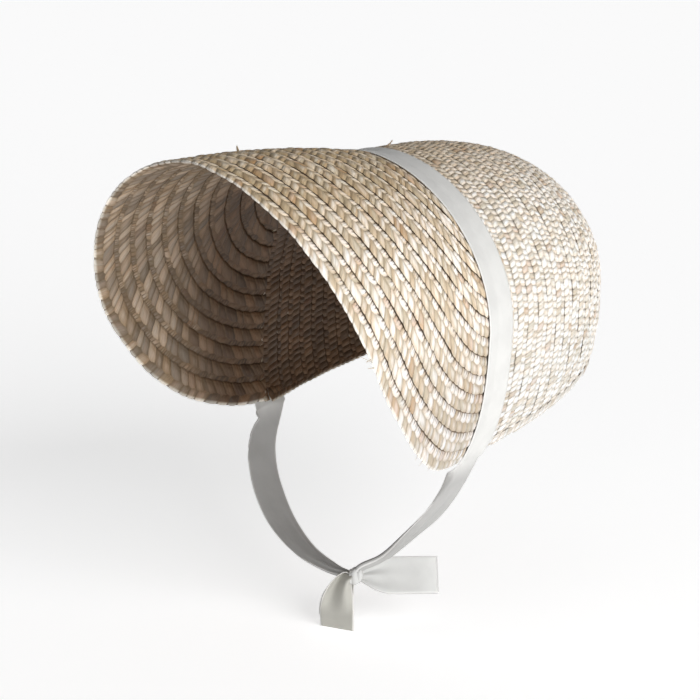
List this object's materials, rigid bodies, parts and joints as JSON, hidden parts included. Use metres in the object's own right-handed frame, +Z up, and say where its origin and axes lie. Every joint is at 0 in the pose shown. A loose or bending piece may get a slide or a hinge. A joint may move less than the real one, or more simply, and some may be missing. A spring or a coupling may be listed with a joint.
{
  "type": "straw bonnet",
  "caption": "Poke bonnet of sewn straw braid with a deep flared brim, a rounded crown, and a ribbon tied under the chin in a one-loop bow.",
  "frame": {"origin": "inner face of the straw at the top of the seam between brim and crown, where the hat sits on a head", "axes": "+Z up as worn; -Y the wearer's front; +X the wearer's left side"},
  "size_m": [0.21, 0.2791, 0.2668],
  "materials": {
    "straw": "woven wheat straw braid, satin splints",
    "ribbon": "matte ivory grosgrain ribbon"
  },
  "bodies": {
    "root": {"brim": "straw", "crown": "straw", "ribbon_band": "ribbon", "ribbon_tie_left": "ribbon", "ribbon_tie_right": "ribbon", "bow_knot": "ribbon", "bow_loop": "ribbon", "bow_tail_front": "ribbon", "bow_tail_back": "ribbon"}
  },
  "joints": []
}
